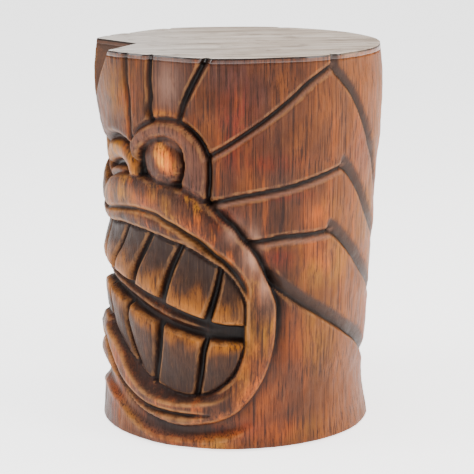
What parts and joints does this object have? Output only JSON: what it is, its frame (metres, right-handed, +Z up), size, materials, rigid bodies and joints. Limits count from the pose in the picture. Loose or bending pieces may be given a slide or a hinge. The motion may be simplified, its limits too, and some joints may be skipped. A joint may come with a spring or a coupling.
{
  "type": "tiki drum stool",
  "caption": "Drum stool or side table with a carved tiki mask face, leaf grooves round the sides, a V notch in the rim and a flat lacquered top.",
  "frame": {"origin": "centre of the stool's footprint, on the floor", "axes": "+Z up, the carved face looks along -Y, +X is to the face's own left"},
  "size_m": [0.3338, 0.3333, 0.445],
  "materials": {
    "carved_resin": "cast resin painted and stained as carved red-brown wood, satin clear coat",
    "seat_lacquer": "pale grey-beige streaked paint under clear lacquer",
    "plywood": "raw birch plywood",
    "softwood": "raw sawn softwood",
    "zinc_steel": "bright zinc plate",
    "foot_rubber": "matt black rubber"
  },
  "bodies": {
    "root": {"carved_shell": "carved_resin", "seat_top": "seat_lacquer", "seat_board": "plywood", "seat_block_1": "softwood", "seat_block_2": "softwood", "seat_block_3": "softwood", "seat_block_4": "softwood", "seat_screws": "zinc_steel", "base_board": "plywood", "base_block_1": "softwood", "base_block_2": "softwood", "base_block_3": "softwood", "base_block_4": "softwood", "base_screws": "zinc_steel", "foot_1": "foot_rubber", "foot_2": "foot_rubber", "foot_3": "foot_rubber", "foot_4": "foot_rubber", "foot_screws": "zinc_steel"}
  },
  "joints": []
}
